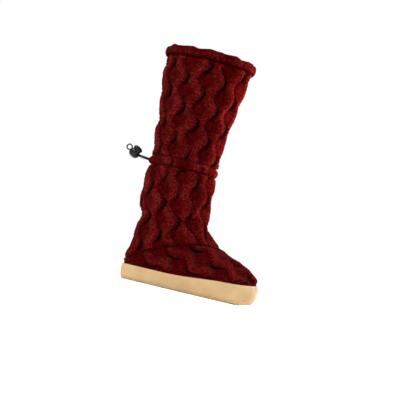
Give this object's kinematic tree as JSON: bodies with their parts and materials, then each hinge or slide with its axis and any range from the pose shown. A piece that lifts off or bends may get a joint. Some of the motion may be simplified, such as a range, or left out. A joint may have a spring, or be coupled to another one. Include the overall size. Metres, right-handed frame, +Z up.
{
  "type": "slipper boot",
  "caption": "Knee-high cable knit slipper boot for the right foot, with a drawcord tunnel, ball cord lock, rolled hem and wrapped suede sole.",
  "frame": {"origin": "on the floor, on the flat of the heel, under the middle of the leg", "axes": "+Z up the leg, +X to the toe, +Y to the inner side of the foot"},
  "size_m": [0.2907, 0.111, 0.4274],
  "materials": {
    "knit": "fuzzy wool-like cable knit, dark red",
    "tan_suede": "short matt nap, tan",
    "outsole_suede": "worn matt nap, darker tan",
    "footbed": "soft fleece, dark red",
    "cord": "round elastic cord, black",
    "lock": "moulded, half gloss, black"
  },
  "bodies": {
    "boot": {"outsole": "outsole_suede", "sole_wrap": "tan_suede", "insole": "footbed", "upper": "knit", "shaft": "knit", "drawcord_tunnel": "knit", "collar_hem": "knit", "drawcord": "cord", "cord_lock_body": "lock"},
    "lock_button": {"cord_lock_button": "lock"}
  },
  "joints": [
    {"name": "lock_button_press", "type": "slide", "parent": "boot", "child": "lock_button", "axis": [-0.5, 0, -0.866], "range_m": [0, 0.0034], "stiffness_N_per_m": 300, "springref_m": -0.002}
  ]
}
